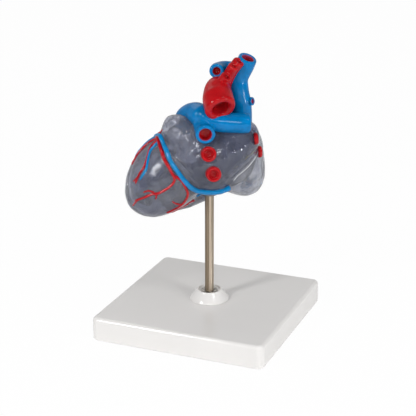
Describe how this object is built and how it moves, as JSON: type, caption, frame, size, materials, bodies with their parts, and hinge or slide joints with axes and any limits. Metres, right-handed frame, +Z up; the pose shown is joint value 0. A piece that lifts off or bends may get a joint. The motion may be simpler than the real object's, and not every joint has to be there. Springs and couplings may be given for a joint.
{
  "type": "heart anatomy model",
  "caption": "Human heart model in smoky clear plastic with red and blue vessels, turning on a metal post over a square base, with a lift-off front wall",
  "frame": {"origin": "centre of the base plate's underside", "axes": "+Z up along the post; the base plate's sides lie along X and Y; the lift-off front wall faces about -Y"},
  "size_m": [0.12, 0.12, 0.1833],
  "materials": {
    "base_white": "white moulded plastic, smooth satin",
    "post_metal": "nickel-plated rod",
    "washer_steel": "dark spring steel",
    "smoky_clear": "smoky clear moulded plastic, glossy",
    "artery_red": "glossy red paint on plastic, dark red in the openings",
    "vein_blue": "glossy blue paint on plastic, dark red in the openings",
    "smoky_inner": "smoky see-through plastic, thicker and milkier than the shells",
    "valve_cream": "cream plastic",
    "bundle_yellow": "yellow paint on plastic"
  },
  "bodies": {
    "stand": {"base_plate": "base_white", "post_collar": "base_white"},
    "post": {"post": "post_metal", "upper_star_washer": "washer_steel", "lower_star_washer": "washer_steel"},
    "heart": {"rear_heart_shell": "smoky_clear", "post_socket": "smoky_clear", "ventricular_septum": "smoky_inner", "atrial_septum": "smoky_inner", "valve_plate": "smoky_inner", "mitral_valve": "valve_cream", "tricuspid_valve": "valve_cream", "aortic_valve": "valve_cream", "pulmonary_valve": "valve_cream", "papillary_muscles": "smoky_inner", "tendon_cords": "valve_cream", "conducting_system": "bundle_yellow", "peg_bosses": "smoky_clear", "aorta": "artery_red", "brachiocephalic_trunk": "artery_red", "left_common_carotid_artery": "artery_red", "left_subclavian_artery": "artery_red", "pulmonary_trunk": "vein_blue", "left_pulmonary_artery": "vein_blue", "right_pulmonary_artery": "vein_blue", "superior_vena_cava": "vein_blue", "left_brachiocephalic_vein": "vein_blue", "azygos_vein": "vein_blue", "inferior_vena_cava": "vein_blue", "left_superior_pulmonary_vein": "artery_red", "left_inferior_pulmonary_vein": "artery_red", "right_superior_pulmonary_vein": "artery_red", "right_inferior_pulmonary_vein": "artery_red", "great_cardiac_vein": "vein_blue", "circumflex_artery": "artery_red", "upper_marginal_artery": "artery_red", "lower_marginal_artery": "artery_red", "diagonal_artery": "artery_red", "diagonal_vein": "vein_blue", "left_anterior_descending_artery": "artery_red", "right_coronary_artery": "artery_red", "posterior_descending_artery": "artery_red", "middle_cardiac_vein": "vein_blue"},
    "front_wall": {"front_heart_wall": "smoky_clear", "locating_pegs": "smoky_clear", "anterior_interventricular_artery": "artery_red", "anterior_interventricular_vein": "vein_blue", "right_marginal_artery": "artery_red"}
  },
  "joints": [
    {"name": "post_swivel", "type": "hinge", "parent": "stand", "child": "post", "pos_m": [0, 0, 0.02], "axis": [0, 0, 1], "continuous": true},
    {"name": "heart_lift", "type": "slide", "parent": "post", "child": "heart", "axis": [0, 0, 1], "range_m": [0, 0.03]},
    {"name": "front_wall_slide", "type": "slide", "parent": "heart", "child": "front_wall", "axis": [-0.4099, -0.9107, 0.0502], "range_m": [0, 0.035]}
  ]
}
